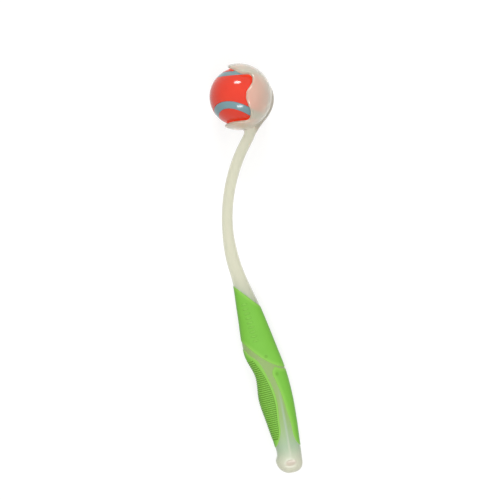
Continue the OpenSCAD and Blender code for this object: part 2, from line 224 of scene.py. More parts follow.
def seen_rays(tree):
    """One for rays from the camera, in reflections or through plastic, zero for rays that bring light."""
    path = add(tree, "ShaderNodeLightPath")
    seen = add(tree, "ShaderNodeMath", {0: path.outputs["Is Camera Ray"], 1: path.outputs["Is Glossy Ray"]})
    seen = add(tree, "ShaderNodeMath", {0: seen.outputs[0], 1: path.outputs["Is Transmission Ray"]},
               use_clamp=True)
    return seen.outputs[0]


def table_white():
    """Matt white table top that is lifted to white where it is seen."""
    material, tree = blank_material("matt_white_table")
    lift = add(tree, "ShaderNodeMath", {0: seen_rays(tree), 1: FLOOR_LIFT}, operation="MULTIPLY")
    paint = add(tree, "ShaderNodeBsdfPrincipled", {
        "Base Color": linear(FLOOR_GREY),
        "Roughness": 0.9,
        "Specular IOR Level": 0.1,
        "Emission Color": linear("#FFFFFF"),
        "Emission Strength": lift.outputs[0],
    })
    add(tree, "ShaderNodeOutputMaterial", {"Surface": paint.outputs[0]})
    return material


floor_mesh = bpy.data.meshes.new("table_top")
floor_corners = [(x * FLOOR_HALF, y * FLOOR_HALF, 0) for x, y in ((-1, -1), (1, -1), (1, 1), (-1, 1))]
floor_mesh.from_pydata(floor_corners, [], [(0, 1, 2, 3)])
floor_mesh.materials.append(table_white())
floor = bpy.data.objects.new("table_top", floor_mesh)
bpy.context.scene.collection.objects.link(floor)
floor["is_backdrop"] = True
print(f"table {2 * FLOOR_HALF:.0f} m across")

# %% Softboxes and world
HORIZON_GREY = 0.04
ZENITH_GREY = 0.96
SOFTBOX_FAR = 1.2
SOFTBOX_SIZE = (0.42, 0.18)


def softbox(name, toward, watts):
    """A rectangular lamp in a direction from the ball, turned to face it."""
    lamp = bpy.data.lights.new(name, "AREA")
    lamp.shape = "RECTANGLE"
    lamp.size, lamp.size_y = SOFTBOX_SIZE
    lamp.energy = watts
    stand = bpy.data.objects.new(name, lamp)
    way = unit(np.array(toward))
    up = unit(np.cross(way, [1, 0, 0]))
    columns = [np.cross(up, way), up, way, SEAT + SOFTBOX_FAR * way]
    stand.matrix_world = Matrix([[*row] for row in np.transpose(columns)]).to_4x4()
    bpy.context.scene.collection.objects.link(stand)
    return stand


softbox("upper_softbox", toward=(-0.08, 0.78, 0.62), watts=5.2)
softbox("lower_softbox", toward=(0.07, -0.70, 0.71), watts=3.6)

world = bpy.data.worlds.new("studio")
world.use_nodes = True
studio = world.node_tree
studio.nodes.clear()
sky_way = add(studio, "ShaderNodeTexCoord")
sky_height = add(studio, "ShaderNodeSeparateXYZ", {0: sky_way.outputs["Generated"]})
sky_grey = ranged(studio, sky_height.outputs["Z"], HORIZON_GREY, ZENITH_GREY)
sky = add(studio, "ShaderNodeMix", {"Factor": seen_rays(studio), "A": sky_grey, "B": 1.0})
backdrop = add(studio, "ShaderNodeBackground", {"Color": linear("#FFFFFF"), "Strength": sky.outputs[0]})
add(studio, "ShaderNodeOutputWorld", {"Surface": backdrop.outputs[0]})
bpy.context.scene.world = world
bpy.context.scene.view_settings.view_transform = "Standard"
print("lamps:", len(bpy.data.lights))

# %% [markdown]
# ## The line of the stick
#
# The middle of the stick follows three arcs that run smoothly into each other: over the back of the cup,
# round the arm's bend, and along the handle's slight bow. A place on the stick is given by its distance u
# along that line, counted from the end of the bend, and by its offset v towards the palm side.

# %% Three tangent arcs
SPINE_R = 34.0
BEND_R = 181.0
BOW_R = 1850.0
ARM_LEAVE = math.radians(38.5)
HANDLE_LEAN = math.radians(19.3)
SPINE_WRAP = math.radians(70)
BEND_LEN = BEND_R * (ARM_LEAVE + HANDLE_LEAN)
SPINE_LEN = SPINE_R * SPINE_WRAP


def across(angle):
    return np.stack([np.cos(angle), np.sin(angle)], axis=-1)


BEND_MIDDLE = (SPINE_R + BEND_R) * across(-ARM_LEAVE)
BOW_MIDDLE = BEND_MIDDLE - (BEND_R + BOW_R) * across(HANDLE_LEAN)


def arc_of(u, on_bow, on_bend, on_spine):
    """Picks the value that belongs to the arc that each place lies on."""
    return np.where(u > 0, on_bow, np.where(u > -BEND_LEN, on_bend, on_spine))


def lean(u):
    """The angle of the offset direction at each place."""
    on_spine = -ARM_LEAVE - (u + BEND_LEN) / SPINE_R
    return arc_of(u, HANDLE_LEAN - u / BOW_R, HANDLE_LEAN + u / BEND_R, on_spine)


def centre(u):
    """The middle line of the stick in the drawing."""
    way = across(lean(u))
    return arc_of(u[..., None], BOW_MIDDLE + BOW_R * way, BEND_MIDDLE - BEND_R * way, SPINE_R * way)


def handle_place(points):
    """Distance along the handle and offset across it, for points of the drawing."""
    gap = np.asarray(points)[..., :2] - BOW_MIDDLE
    u = (HANDLE_LEAN - np.arctan2(gap[..., 1], gap[..., 0])) * BOW_R
    return u, np.linalg.norm(gap, axis=-1) - BOW_R


print(f"bend {BEND_LEN:.0f} mm long, spine {SPINE_LEN:.0f} mm long")

# %% [markdown]
# ## The sections of the stick
#
# The stick's cross section is a rounded oblong, a superellipse, that changes along its length. Each row of
# the table gives a place, the reach to the finger side, the reach to the palm side, and the half depth.
# A smooth curve through the rows gives every section between them, and the butt closes in like an egg.

# %% Sections along the stick
SLEEVE_AT = 26.0
SLEEVE_END = 102.0
GRIP_END = 203.0
BUTT_END = 231.0
BUTT_ROUND = 13.0
HANDLE_FROM = -20.0
ARM_HALF = 6.2
ARM_DEEP = 7.0
HANDLE_DEEP = 11.0
ROOT_AT = 25.0 - BEND_LEN
SQUARENESS = 2.5


def deep(share):
    """Half depth at a share of the way from the arm to the handle."""
    return ARM_DEEP + (HANDLE_DEEP - ARM_DEEP) * share


SECTIONS = np.array([
    [-BEND_LEN - SPINE_LEN, 5.0, 2.0, 4.2],
    [-BEND_LEN - SPINE_LEN / 2, 5.0, 5.0, 5.6],
    [-BEND_LEN, 14.0, 5.0, deep(0)],
    [ROOT_AT - 6.0, 14.0, 5.0, deep(0)],
    [ROOT_AT, 7.7, 5.6, deep(0)],
    [ROOT_AT + 3.0, ARM_HALF, ARM_HALF, deep(0)],
    [ROOT_AT + 25.0, ARM_HALF, ARM_HALF, deep(0)],
    [-50.0, ARM_HALF, ARM_HALF, deep(0)],
    [HANDLE_FROM, 7.1, 7.35, deep(0.15)],
    [SLEEVE_AT - 16.0, 8.0, 8.5, deep(0.4)],
    [SLEEVE_AT + 16.0, 13.3, 12.3, deep(0.75)],
    [SLEEVE_END - 12.0, 19.9, 16.7, deep(1)],
    [SLEEVE_END + 16.0, 14.6, 19.3, deep(1)],
    [SLEEVE_END + 43.0, 17.7, 19.3, deep(1)],
    [GRIP_END - 31.0, 15.5, 17.4, deep(1)],
    [GRIP_END - 5.5, 13.1, 14.9, deep(1)],
    [GRIP_END + 5.5, 13.1, 14.2, deep(1)],
    [GRIP_END + 12.0, 16.0, 13.5, deep(1)],
    [BUTT_END, 12.5, 13.0, deep(1)],
])


def smooth_curve(table, u, column=1):
    """A smooth curve through the rows of a table, as a function of its first column."""
    x, y = table[:, 0], table[:, column]
    slopes = np.empty_like(y)
    slopes[1:-1] = (y[2:] - y[:-2]) / (x[2:] - x[:-2])
    slopes[0] = (y[1] - y[0]) / (x[1] - x[0])
    slopes[-1] = (y[-1] - y[-2]) / (x[-1] - x[-2])
    i = np.clip(np.searchsorted(x, u, side="right") - 1, 0, len(x) - 2)
    width = x[i + 1] - x[i]
    t = (u - x[i]) / width
    levels = y[i] * (1 + 2 * t) * (1 - t) ** 2 + y[i + 1] * t * t * (3 - 2 * t)
    return levels + width * t * (1 - t) * (slopes[i] * (1 - t) - slopes[i + 1] * t)


def reaches(u):
    """Reach to the finger side, reach to the palm side and half depth, with the butt's end rounded off."""
    past = np.clip((u - (BUTT_END - BUTT_ROUND)) / BUTT_ROUND, 0, 1)
    share = (1 - past ** SQUARENESS) ** (1 / SQUARENESS)
    return [smooth_curve(SECTIONS, u, column) * share for column in (1, 2, 3)]


def bulge(c):
    return np.sign(c) * np.abs(c) ** (2 / SQUARENESS)


def offset_at(u, angle, grow=0.0):
    """Offset towards the palm side of the stick's skin, at a place and an angle round the section."""
    finger, palm, _ = reaches(u)
    return (palm - finger) / 2 + bulge(np.cos(angle)) * ((palm + finger) / 2 + grow)


def stick(u, angle, grow=0.0):
    """Points of the stick's skin, grown outwards by a distance."""
    u, angle, grow = np.broadcast_arrays(u, angle, grow)
    depth = reaches(u)[2] + grow
    spot = centre(u) + offset_at(u, angle, grow)[..., None] * across(lean(u))
    return np.concatenate([spot, (bulge(np.sin(angle)) * depth)[..., None]], axis=-1)


print(f"stick {BEND_LEN + BUTT_END:.0f} mm from the cup to the butt")

# %% [markdown]
# ## Closed meshes from rings of points
#
# Most pieces here follow a rule, so their points are worked out in rows and rings and a skin is stretched
# over them. The helper merges the points that fall together, such as those at a tip, and then turns every
# face outwards, which keeps the meshes closed and clean.

# %% Skin over rings
def skin(rings, wrap=False):
    """Points and faces over rings of points, with both ends capped unless the rings close on themselves."""
    count, sides = rings.shape[:2]
    faces = []
    for i in range(count if wrap else count - 1):
        here, there = i * sides, (i + 1) % count * sides
        for k in range(sides):
            n = (k + 1) % sides
            faces.append((here + k, here + n, there + n, there + k))
    if not wrap:
        faces.append(tuple(range(sides)))
        faces.append(tuple(range((count - 1) * sides, count * sides)))
    return rings.reshape(-1, 3), faces


def show(name, mesh, *materials):
    """A new object of that mesh in the scene, at the origin."""
    for material in materials:
        mesh.materials.append(material)
    shown = bpy.data.objects.new(name, mesh)
    bpy.context.scene.collection.objects.link(shown)
    return shown


def closed(name, points, faces, *materials):
    """A closed piece from points of the drawing."""
    mesh = bpy.data.meshes.new(name)
    mesh.from_pydata(lay(points).tolist(), [], faces)
    form = bmesh.new()
    form.from_mesh(mesh)
    bmesh.ops.remove_doubles(form, verts=form.verts, dist=1e-6)
    bmesh.ops.recalc_face_normals(form, faces=form.faces)
    for face in form.faces:
        face.smooth = True
    form.to_mesh(mesh)
    form.free()
    return show(name, mesh, *materials)


def eased(count):
    """Shares from zero to one, closer together at both ends."""
    return (1 - np.cos(np.linspace(0, math.pi, count))) / 2


def rolled(from_edge, radius):
    """How far a surface drops near an edge that is rolled over with a radius."""
    dip = radius - np.minimum(from_edge, radius)
    return radius - np.sqrt(radius ** 2 - dip ** 2)


print("skin helpers ready")

# %% [markdown]
# ## Milky polypropylene
#
# The stick is moulded in natural polypropylene with a satin skin. The plastic is neither clear nor opaque:
# the ball shows through the cup as a pink shadow with a faint edge, and green light from the grips glows in
# the plastic beside them. A cloudy share of transmission under a smooth clear coat gives the first effect,
# because the inside of the plastic scatters and its moulded skin shines. The second is a painted glow: an
# attribute on the mesh says how near the grips a point is, and the colour is mixed towards green there.
# Another says how thin the wall is: thin walls look paler. A third marks the dimple in the butt, which is
# painted darker, as shade in the hollow, and pinker.
# The same plastic comes in two grades, as the thick handle scatters nearly all the light that enters it.

# %% Milky polypropylene
MILK_THIN = "#E5DECB"
MILK_THICK = "#CFD3BB"
MINT_GLOW = "#AAC3A0"
OLIVE_GLOW = "#97BB60"
DIMPLE_SHADE = "#CFC0AF"
MILK_DRIFT = 0.1
HAZE_DRIFT = 0.03
CLOUD_MM = 30
SATIN_MM = 1.2


def milky_polypropylene(name, transmission, roughness, skin_roughness):
    """Milky plastic with a shiny moulded skin, that lets a share of the light through."""
    material, tree = blank_material(name)
    clouds = noise(tree, CLOUD_MM, 2.0)
    drift = ranged(tree, clouds, -MILK_DRIFT, MILK_DRIFT)
    pale = add(tree, "ShaderNodeMath", {0: kept(tree, "thin_wall"), 1: drift}, use_clamp=True)
    milk = mixed(tree, pale.outputs[0], MILK_THICK, MILK_THIN)
    # Painted glow: green light from the grips, mixed into the plastic's colour
    near = kept(tree, "green_glow")
    faint = add(tree, "ShaderNodeMapRange", {"Value": near, "From Max": 0.5})
    strong = add(tree, "ShaderNodeMapRange", {"Value": near, "From Min": 0.5})
    minty = mixed(tree, faint.outputs[0], milk, MINT_GLOW)
    green = mixed(tree, strong.outputs[0], minty, OLIVE_GLOW)
    plastic = add(tree, "ShaderNodeBsdfPrincipled", {
        # Painted shade in the dimple: darker and pinker
        "Base Color": mixed(tree, kept(tree, "dimple_shade"), green, DIMPLE_SHADE),
        "Roughness": ranged(tree, clouds, roughness - HAZE_DRIFT, roughness + HAZE_DRIFT),
        "IOR": 1.49,
        "Transmission Weight": transmission,
        "Coat Weight": 1.0,
        "Coat Roughness": skin_roughness,
        "Normal": bumpy(tree, noise(tree, SATIN_MM, 3.0), 0.02, 0.05),
    })
    path = add(tree, "ShaderNodeLightPath")
    film = add(tree, "ShaderNodeBsdfTransparent", {"Color": linear("#FFFFFF")})
    lit = add(tree, "ShaderNodeMixShader", {
        0: path.outputs["Is Shadow Ray"], 1: plastic.outputs[0], 2: film.outputs[0]})
    add(tree, "ShaderNodeOutputMaterial", {"Surface": lit.outputs[0]})
    return material


thin_plastic = milky_polypropylene(
    "milky_polypropylene_thin", transmission=0.66, roughness=0.32, skin_roughness=0.08)
thick_plastic = milky_polypropylene(
    "milky_polypropylene_thick", transmission=0.25, roughness=0.42, skin_roughness=0.34)
print("made", thin_plastic.name, thick_plastic.name)

# %% [markdown]
# ## Cup, arm and handle
#
# The moulding is one solid, so it is made as a moulder would describe it: a bar along the stick's line is
# joined to a hollow ball cup, the mouth is cut out of the cup's side, and a round bead rolls its rim. Then
# the ball's room and a dimple in the butt are hollowed out. Booleans do the joining and cutting. A fine
# voxel remesh runs over the whole at the end, and blends the arm's root into the cup the way a mould does.

# %% Bar along the stick
BAR_SIDES = 128
BAR_STEP = 1.2
BUTT_RINGS = 14
RIDGE = np.array([[130.0, 6.7], [150.0, 5.6], [181.0, 3.5], [200.0, 2.3], [216.0, 1.4]])
RIDGE_FADE = np.array([[130, 0], [162, 1], [205, 1], [218, 0]])
RIDGE_HIGHLIGHT = 0.5
RIDGE_W = 1.4
RIDGE_H = 0.7

round_start = BUTT_END - BUTT_ROUND
bar_places = np.linspace(-BEND_LEN - SPINE_LEN, round_start,
                         int((round_start + BEND_LEN + SPINE_LEN) / BAR_STEP))
end_places = round_start + BUTT_ROUND * np.sin(np.linspace(0, math.pi / 2, BUTT_RINGS + 1)[1:])
places = np.concatenate([bar_places, end_places])[:, None]
round_angles = full_turn(BAR_SIDES)[None, :]
bar_rings = stick(places, round_angles)

# A low ridge runs down both faces of the bare strip between the grips
from_ridge = offset_at(places, round_angles) - np.interp(places, *RIDGE.T)
ridge_fade = np.interp(places, *RIDGE_FADE.T)
rise = RIDGE_H * np.exp(-(from_ridge / RIDGE_W) ** 2) * ridge_fade
bar_rings[..., 2] += np.sign(bar_rings[..., 2]) * rise
body = closed("launcher_body", *skin(bar_rings))
print("bar rings:", len(places))

# %% Cup, mouth and ball room
BALL_R = 32.5
SEAT_R = 32.8
CUP_R = 37.0
MOUTH_UP = math.radians(3)
LIP_WRAP = math.radians(24)
UPPER_EDGE = SEAT_R - 9.3
LOWER_EDGE = SEAT_R - 7.6
BAY_BACK = 13.8
BAY_WIDE = 11.6
BAY_TALL = 9.0
LOBE_BACK = 8.0
LOBE_HALF = 4.0
RIM_ROUND = 5.0
RIM_BEAD = (CUP_R - SEAT_R) / 2 + 0.2
RIM_AT = SEAT_R + RIM_BEAD - 0.15
CUP_RINGS = 96
POLE_GAP = 0.004
FAR = 3 * CUP_R


def rounded(corners, radius, steps=10):
    """A closed outline with each corner turned into an arc."""
    made = []
    for before, corner, after in zip(np.roll(corners, 1, 0), corners, np.roll(corners, -1, 0)):
        back = (before - corner) / np.linalg.norm(before - corner)
        ahead = (after - corner) / np.linalg.norm(after - corner)
        half = math.acos(back @ ahead) / 2
        middle = corner + (back + ahead) / np.linalg.norm(back + ahead) * radius / math.sin(half)
        first = corner + back * radius / math.tan(half) - middle
        last = corner + ahead * radius / math.tan(half) - middle
        for share in np.linspace(0, 1, steps):
            spoke = first * (1 - share) + last * share
            made.append(middle + spoke * radius / np.linalg.norm(spoke))
    return np.array(made)


def turned(points):
    """Turns points of the drawing from a level mouth to the cup's real mouth."""
    c, s = math.cos(-MOUTH_UP), math.sin(-MOUTH_UP)
    return np.asarray(points) @ np.array([[c, s, 0], [-s, c, 0], [0, 0, 1]])


def spun(profile, sides=160):
    """Rings of a shape turned about the mouth's axis, from rows of distance along it and radius."""
    angle = full_turn(sides)
    along, radius = profile[:, :1], profile[:, 1:]
    rings = [along + 0 * angle, radius * np.cos(angle), radius * np.sin(angle)]
    return turned(np.stack(rings, axis=-1))


quarter = np.linspace(POLE_GAP, math.pi / 2, CUP_RINGS // 2)
half_turn = np.linspace(POLE_GAP, math.pi - POLE_GAP, CUP_RINGS)
cup_ball = CUP_R * across(half_turn)
room = np.concatenate([SEAT_R * across(quarter), [[-2 * CUP_R, SEAT_R]]])

lip_x, lip_y = -math.sin(LIP_WRAP), math.cos(LIP_WRAP)
mouth_corners = np.array([
    [FAR * lip_x, FAR * lip_y],
    [SEAT_R * lip_x, SEAT_R * lip_y],
    [BAY_BACK - BAY_WIDE, UPPER_EDGE],
    [BAY_BACK, UPPER_EDGE],
    [BAY_BACK, UPPER_EDGE - BAY_TALL],
    [LOBE_BACK, LOBE_HALF],
    [LOBE_BACK, -LOBE_HALF],
    [BAY_BACK, BAY_TALL - LOWER_EDGE],
    [BAY_BACK, -LOWER_EDGE],
    [SEAT_R * lip_x, -SEAT_R * lip_y],
    [FAR * lip_x, -FAR * lip_y],
    [-FAR, 0.0],
])
mouth_line = rounded(mouth_corners, RIM_ROUND)
line_run = np.roll(mouth_line, -1, 0) - np.roll(mouth_line, 1, 0)
line_out = unit(np.stack([-line_run[:, 1], line_run[:, 0]], axis=-1))
set_back = mouth_line + RIM_BEAD * line_out
mouth_rings = np.stack([np.insert(set_back, 2, z, axis=1) for z in (-2 * CUP_R, 2 * CUP_R)])
cup = closed("cup_ball", *skin(spun(cup_ball)))
mouth = closed("mouth_cutter", *skin(turned(mouth_rings)))
ball_room = closed("ball_room", *skin(spun(room)))
print("mouth outline points:", len(mouth_line))

# %% Rolled rim
RIM_STEP = 0.8
BEAD_SIDES = 20


def evenly(line, step):
    """Points along a polyline at even steps."""
    run = np.concatenate([[0], np.cumsum(np.linalg.norm(np.diff(line, axis=0), axis=1))])
    even = np.linspace(0, run[-1], int(run[-1] / step))
    return np.stack([np.interp(even, run, column) for column in line.T], axis=-1)


# The bead's middle lies half way through the wall, above and below the mouth's outline
rim_flat = evenly(set_back, RIM_STEP / 20)
rim_flat = rim_flat[np.linalg.norm(rim_flat, axis=1) < RIM_AT]
rim_front = np.column_stack([rim_flat, np.sqrt(RIM_AT ** 2 - (rim_flat ** 2).sum(axis=1))])
rim_back = rim_front[::-1] * np.array([1, 1, -1])
rim = evenly(np.concatenate([rim_front, rim_back, rim_front[:1]]), RIM_STEP)[:-1]
rim_out = unit(rim)
rim_run = np.roll(rim, -1, 0) - np.roll(rim, 1, 0)
rim_side = unit(np.cross(rim_run, rim_out))
bead_angle = full_turn(BEAD_SIDES)[None, :, None]
bead_ring = np.cos(bead_angle) * rim_out[:, None] + np.sin(bead_angle) * rim_side[:, None]
rim_bead = closed("rim_bead", *skin(turned(rim[:, None] + RIM_BEAD * bead_ring), wrap=True))
print("rim rings:", len(rim))

# %% Dimple in the butt
MARK_AT = 219.0
MARK_HALF = np.array([6.4, 3.5, 1.0])
MARK_FLAT = 0.8
MARK_TIP = 0.02
MARK_RINGS = 24
MARK_SIDES = 48

mark_u = np.array([MARK_AT])
mark_way = across(lean(mark_u))[0]
mark_spot = np.array([*centre(mark_u)[0], reaches(mark_u)[2][0]])
egg_up = np.linspace(MARK_TIP, math.pi - MARK_TIP, MARK_RINGS)[:, None]
egg_round = full_turn(MARK_SIDES)[None, :]
egg_wide = np.sin(egg_up) ** MARK_FLAT
egg_tall = np.sign(np.cos(egg_up)) * np.abs(np.cos(egg_up)) ** MARK_FLAT
egg = np.stack([egg_wide * np.cos(egg_round), egg_wide * np.sin(egg_round),
                egg_tall + 0 * egg_round], axis=-1) * MARK_HALF
mark_turn = np.array([[*mark_way, 0], [-mark_way[1], mark_way[0], 0], [0, 0, 1]])
dimple = closed("butt_dimple", *skin(egg @ mark_turn + mark_spot))
print(f"dimple {2 * MARK_HALF[0]:.1f} by {2 * MARK_HALF[1]:.1f} mm")

# %% Join, cut and blend
VOXEL = 0.8 * MM
SMOOTH_TURNS = 8


def bake_modifiers(piece):
    """Replaces a piece's mesh by what its modifiers make of it."""
    depsgraph = bpy.context.evaluated_depsgraph_get()
    made = bpy.data.meshes.new_from_object(piece.evaluated_get(depsgraph), depsgraph=depsgraph)
    piece.modifiers.clear()
    piece.data = made
    return piece


def combine(piece, tool, operation):
    """Joins a tool to the piece or cuts it out of the piece, and removes the tool."""
    cut = piece.modifiers.new(operation.lower(), "BOOLEAN")
    cut.object = tool
    cut.operation = operation
    cut.solver = "EXACT"
    bake_modifiers(piece)
    bpy.data.objects.remove(tool)
    return piece


combine(cup, mouth, "DIFFERENCE")
combine(body, cup, "UNION")
combine(body, rim_bead, "UNION")
combine(body, ball_room, "DIFFERENCE")
combine(body, dimple, "DIFFERENCE")
voxels = body.modifiers.new("blend", "REMESH")
voxels.mode = "VOXEL"
voxels.voxel_size = VOXEL
voxels.use_smooth_shade = True
relax = body.modifiers.new("relax", "SMOOTH")
relax.factor = 0.5
relax.iterations = SMOOTH_TURNS
bake_modifiers(body)
print("moulding faces:", len(body.data.polygons))

# %% Thin walls and painted shade in the dimple
THIN_ARM = 0.4
THIN_HANDLE = 0.36
CUP_SKIN = 0.6
CUP_FADE = 3.0
MARK_FADE = (0.6, 1.2)


def mesh_points(piece):
    """The points of a piece's mesh, on the drawing."""
    spots = np.empty(3 * len(piece.data.vertices))
    piece.data.vertices.foreach_get("co", spots)
    return drawn(spots.reshape(-1, 3))


def keep_on(piece, name, values):
    """Keeps one value for each point of a mesh as an attribute that its material reads."""
    piece.data.attributes.new(name, "FLOAT", "POINT").data.foreach_set("value", values)


body_points = mesh_points(body)
along, aside = handle_place(body_points)
from_ball = np.linalg.norm(body_points, axis=1)
thin_bar = np.interp(along, [HANDLE_FROM, SLEEVE_END], [THIN_ARM, THIN_HANDLE])
thin_cup = np.interp(from_ball, [CUP_R + CUP_SKIN, CUP_R + CUP_FADE], [1, THIN_ARM])
# Painted shade, darker and pinker, inside the dimple in the butt
from_mark = np.hypot((along - MARK_AT) / MARK_HALF[1], aside / MARK_HALF[0])
in_mark = np.interp(from_mark, MARK_FADE, [1, 0]) * (body_points[:, 2] > 0)
keep_on(body, "thin_wall", np.maximum(thin_bar, thin_cup * (from_ball < CUP_R + CUP_FADE)))
keep_on(body, "dimple_shade", in_mark)
body.data.materials.clear()
body.data.materials.append(thin_plastic)
body.data.materials.append(thick_plastic)
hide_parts("launcher_arm")
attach(body, "launcher")
print("points in the dimple:", np.count_nonzero(in_mark))

# %% [markdown]
# ## Soft-touch rubber
#
# The grips are a thermoplastic rubber moulded over the handle. It is a fresh apple green, matt and a little
# dusty to the touch, so its highlights are wide and weak, and sheen greys it where it turns away. A painted
# highlight makes its edges, its ribs and its pips a paler green, and a fine grit breaks up the surface.
# Painted shade darkens it between the ribs, in the gate marks and round the pips. Where the rubber is
# bonded to the handle it is only seen through the milky plastic, and there it gets a painted near-white
# glow.

# %% Soft-touch rubber
GREEN = "#7DC63F"
GREEN_DEEP = "#73BB36"
GREEN_HIGHLIGHT = "#8ECC50"
GREEN_BOND_GLOW = "#F0F3E4"
GROOVE_SHADE = "#5E9418"
DUST = "#DADCE0"
GRIP_ROUGH = (0.5, 0.66)
GRIT_MM = 0.9
PATCH_MM = 18


def soft_touch_rubber():
    """Matt green rubber: an even colour under painted highlights and painted shade, wide weak highlights
    and a fine grit.
    """
    material, tree = blank_material("soft_touch_rubber")
    green = mixed(tree, noise(tree, PATCH_MM, 3.0), GREEN_DEEP, GREEN)
    # Painted highlight: edges, ribs and pips are mixed towards a paler green
    paler = mixed(tree, kept(tree, "painted_highlight"), green, GREEN_HIGHLIGHT)
    # Painted glow: the bonded inner side is mixed towards near-white, for light scattered in the plastic
    cloudy = mixed(tree, kept(tree, "bonded"), paler, GREEN_BOND_GLOW)
    grit = noise(tree, GRIT_MM, 2.0)
    rubber = add(tree, "ShaderNodeBsdfPrincipled", {
        # Painted shade: darker green between the ribs, in the gate marks and round the pips
        "Base Color": mixed(tree, kept(tree, "painted_shade"), cloudy, GROOVE_SHADE),
        "Roughness": ranged(tree, grit, *GRIP_ROUGH),
        "IOR": 1.5,
        "Sheen Weight": 0.35,
        "Sheen Roughness": 0.35,
        "Sheen Tint": linear(DUST),
        "Normal": bumpy(tree, grit, 0.3, 0.08),
    })
    add(tree, "ShaderNodeOutputMaterial", {"Surface": rubber.outputs[0]})
    return material


grip_rubber = soft_touch_rubber()
print("made", grip_rubber.name)

# %% [markdown]
# ## The shapes of the grips
#
# The sleeve goes right round the handle between two slanting edges. Below it, one grip wraps the finger
# side and one the palm side, and a bare strip of the moulding runs down between them. Each is drawn as an
# outline in u and v. Round the section the outline becomes, at each angle, one stretch of the stick from a
# first place to a last place, and that is how a grip is meshed: rows along each stretch, side by side.

# %% Outlines of the grips
GRIP_LEN = GRIP_END - SLEEVE_END
PALM_BACK = 19.3
TOP_SLANT = 1.44
BOTTOM_SLANT = 1.05
BOTTOM_BOW = 0.36
GRIP_GAP = 1.5
SEARCH_STEP = 0.05
FINGER_EDGE = np.array([
    [-0.2, -1.2], [-0.15, -0.98], [-0.1, -0.84], [-0.06, -0.65], [-0.016, -0.45], [0.036, -0.335],
    [0.1, -0.23], [0.3, 0.01], [0.48, 0.065], [0.67, -0.08], [0.82, -0.25], [0.93, -0.67], [1, -1.23],
])
PALM_EDGE = np.array([
    [0.06, 0.85], [0.1, 0.5], [0.14, 0.29], [0.18, 0.24], [0.24, 0.3], [0.4, 0.4], [0.58, 0.5],
    [0.75, 0.62], [0.87, 0.67], [0.95, 0.83], [1.04, 1.3],
])


def sleeve_top(v):
    return SLEEVE_AT + TOP_SLANT * v


def sleeve_bottom(v):
    return SLEEVE_END + BOTTOM_SLANT * v - BOTTOM_BOW * v * v / PALM_BACK


def edge_offset(table, u):
    """Offset of a lower grip's inner edge, which follows the handle's own width."""
    finger, palm, _ = reaches(u)
    return smooth_curve(table, (u - SLEEVE_END) / GRIP_LEN) * (finger + palm) / 2


def within(table, u):
    share = (u - SLEEVE_END) / GRIP_LEN
    return (share >= table[0, 0]) & (share <= table[-1, 0])


def below_sleeve(u, v):
    return u > sleeve_bottom(v) + GRIP_GAP * math.hypot(1, BOTTOM_SLANT)


def in_sleeve(u, v):
    return (u > sleeve_top(v)) & (u < sleeve_bottom(v))


def in_finger_grip(u, v):
    return (v < edge_offset(FINGER_EDGE, u)) & within(FINGER_EDGE, u) & below_sleeve(u, v)


def in_palm_grip(u, v):
    return (v > edge_offset(PALM_EDGE, u)) & within(PALM_EDGE, u) & below_sleeve(u, v)


def stretches(inside, angles):
    """First and last place inside an outline at each angle round the section, and whether there is any."""
    u = np.arange(HANDLE_FROM, BUTT_END, SEARCH_STEP)[None, :]
    held = inside(u, offset_at(u, angles[:, None]))
    first = u[0][held.argmax(axis=1)]
    last = u[0][held.shape[1] - 1 - held[:, ::-1].argmax(axis=1)]
    return first, last, held.any(axis=1)


print(f"lower grips {GRIP_LEN:.0f} mm long")

# %% Painted green glow in the moulding
GLOW_REACH = 5.0
GLOW_ABOVE = 0.3
UNDER_SLEEVE = 2.0
GLOW_BELOW = np.array([[165, 1], [180, 0.85], [190, 0.7], [198, 0.55], [206, 0.38], [213, 0.16], [222, 0]])

# Painted glow of the grips' green light: full under the sleeve, fading above it and towards the butt
past_top = along - sleeve_top(aside)
glow = np.where(past_top > 0, 1, GLOW_ABOVE * np.exp(np.minimum(past_top, 0) / GLOW_REACH))
glow = np.minimum(glow, np.interp(along, *GLOW_BELOW.T))
# Painted highlight: the glow is partly cleared on the ridge, so it reads lighter
on_ridge = np.exp(-((aside - np.interp(along, *RIDGE.T)) / RIDGE_W) ** 2)
on_ridge *= np.interp(along, *RIDGE_FADE.T)
keep_on(body, "green_glow", glow * (1 - RIDGE_HIGHLIGHT * on_ridge))

# The plastic changes from thin to thick out of sight, a little way under the sleeve
thick_points = past_top > UNDER_SLEEVE
for face in body.data.polygons:
    face.material_index = int(thick_points[face.vertices[0]])
print(f"tinted points: {np.count_nonzero(glow > 0.1)} of {len(glow)}")

# %% Grip solids
PROUD = 0.4
SINK = 1.2
EDGE_ROUND = 0.7
GRIP_COLUMNS = 240
GRIP_ROWS = 190
INNER_ROWS = 24
HIGHLIGHT_FADE = 4.0
GATE_R = 1.8
GATE_FADE = 0.4
GATE_DEEP = 0.34
GATE_SHADE = 0.4
BONDED_BELOW = 0.93
SLEEVE_GATE = 2.7
PALM_GATE = 9.2
GATES = [(sleeve_bottom(SLEEVE_GATE) - 6.0, SLEEVE_GATE), (sleeve_bottom(PALM_GATE) + 10.4, PALM_GATE)]


def distance_to(points, line):
    """Distance from each point to a polyline."""
    nearest = np.full(len(points), np.inf)
    for a, b in zip(line[:-1], line[1:]):
        run = b - a
        t = np.clip((points - a) @ run / max(run @ run, 1e-12), 0, 1)
        nearest = np.minimum(nearest, np.linalg.norm(points - a - t[:, None] * run, axis=1))
    return nearest


def in_gate(u, v):
    """One inside the round marks where the rubber was injected, fading at their edges."""
    gaps = [np.hypot(u - gate_u, v - gate_v) for gate_u, gate_v in GATES]
    return np.interp(np.min(gaps, axis=0), [GATE_R - GATE_FADE, GATE_R + GATE_FADE], [1, 0])


